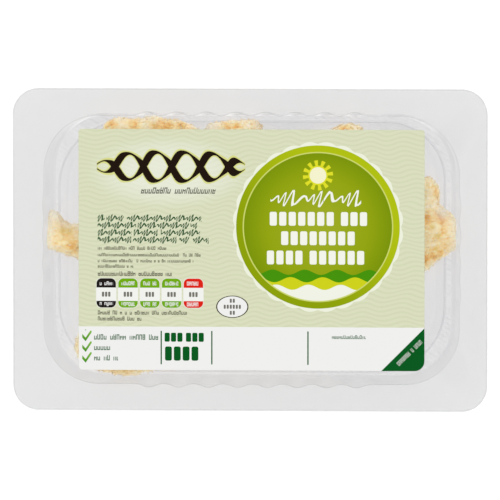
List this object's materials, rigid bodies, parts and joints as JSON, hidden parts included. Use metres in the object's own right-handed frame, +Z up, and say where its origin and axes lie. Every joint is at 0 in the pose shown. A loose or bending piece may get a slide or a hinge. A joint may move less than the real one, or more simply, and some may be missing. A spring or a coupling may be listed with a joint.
{
  "type": "sealed clear tray pack of dried salted cod fillets",
  "caption": "Shallow clear tray with fluted walls and a wide flat flange, sealed with clear film and a printed paper label, holding pieces of dried salted cod fillet.",
  "frame": {"origin": "on the table, under the middle of the flange", "axes": "+X along the pack's long side, towards the label's peel corner; +Y along its short side, towards the label's top edge; +Z up, out of the film"},
  "size_m": [0.22, 0.1498, 0.0286],
  "materials": {
    "tray_plastic": "clear thermoformed plastic sheet",
    "lid_film": "clear lidding film",
    "label_paper": "semi-gloss printed paper, pale green",
    "salted_cod": "dry fibrous fish, golden cream with frosty salt"
  },
  "bodies": {
    "root": {"tray": "tray_plastic", "lid_film": "lid_film", "label": "label_paper", "fillet_upper_left": "salted_cod", "fillet_upper_middle": "salted_cod", "fillet_left": "salted_cod", "fillet_right": "salted_cod", "fillet_lower": "salted_cod", "fillet_upper_right": "salted_cod"}
  },
  "joints": []
}
